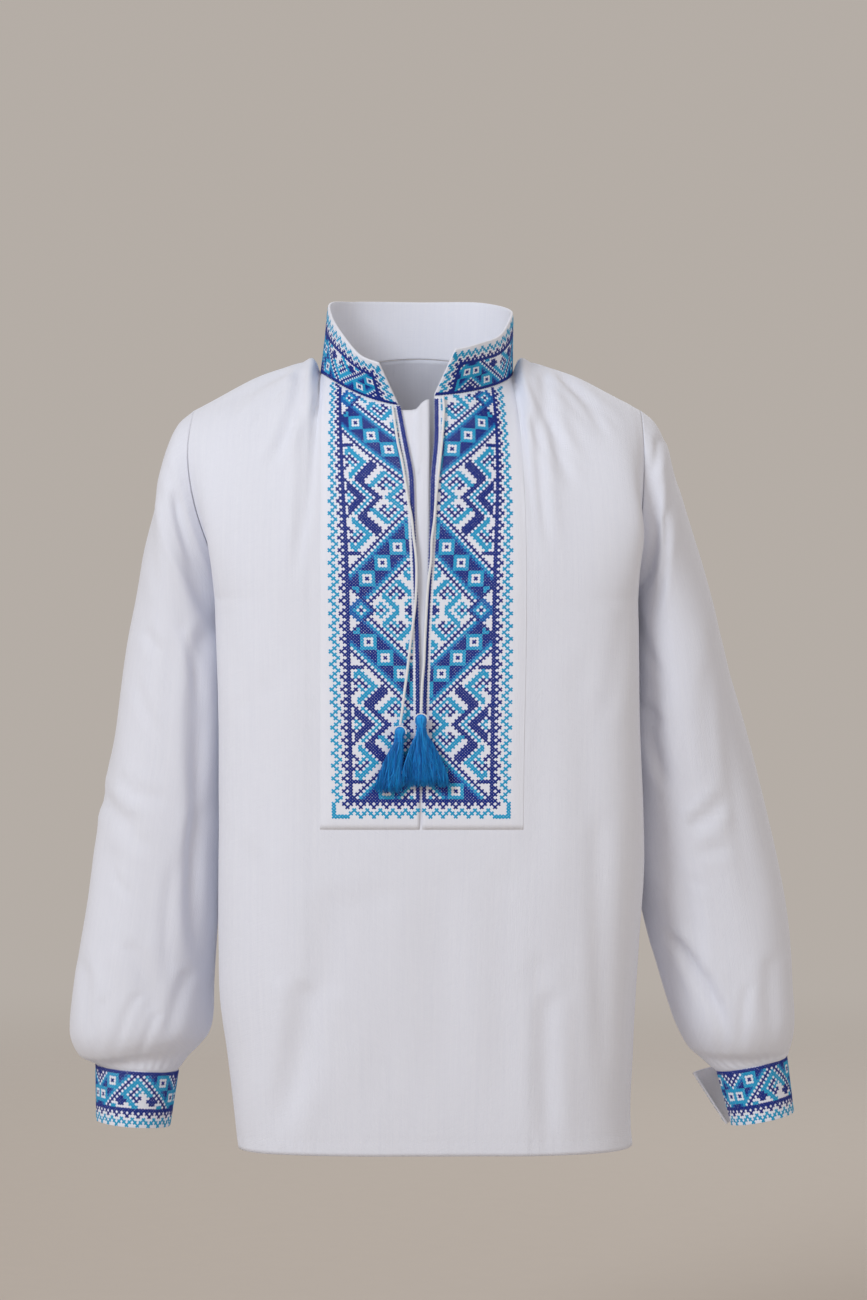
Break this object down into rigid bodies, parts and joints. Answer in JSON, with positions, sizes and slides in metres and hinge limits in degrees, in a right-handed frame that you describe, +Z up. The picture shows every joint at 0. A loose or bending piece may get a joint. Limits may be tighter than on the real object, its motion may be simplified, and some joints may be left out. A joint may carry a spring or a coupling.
{
  "type": "embroidered folk shirt",
  "caption": "White long-sleeved vyshyvanka shirt in its worn shape, hollow, with cross-stitched collar, chest halves and cuffs, tie cords and tassels.",
  "frame": {"origin": "middle of the neck at the height of the collar seam, where the wearer's neck and shoulders hold the shirt", "axes": "+Z up, +X to the right of someone who faces the shirt's front, the front faces -Y"},
  "size_m": [0.5252, 0.207, 0.607],
  "materials": {
    "shirt_cloth": "plain-woven white cotton poplin, matt",
    "stitched_band": "white ground covered with blue and turquoise cross-stitch",
    "cord": "twisted white cotton cord",
    "tassel": "blue embroidery thread, slight sheen"
  },
  "bodies": {
    "root": {"front_panel": "shirt_cloth", "back_panel": "shirt_cloth", "sleeve_left": "shirt_cloth", "sleeve_right": "shirt_cloth", "collar": "stitched_band", "cuff_left": "stitched_band", "cuff_right": "stitched_band", "chest_left": "stitched_band", "chest_right": "stitched_band", "underlap": "shirt_cloth", "tie_cord_left": "cord", "tie_cord_right": "cord", "tassel_left": "tassel", "tassel_right": "tassel"}
  },
  "joints": []
}
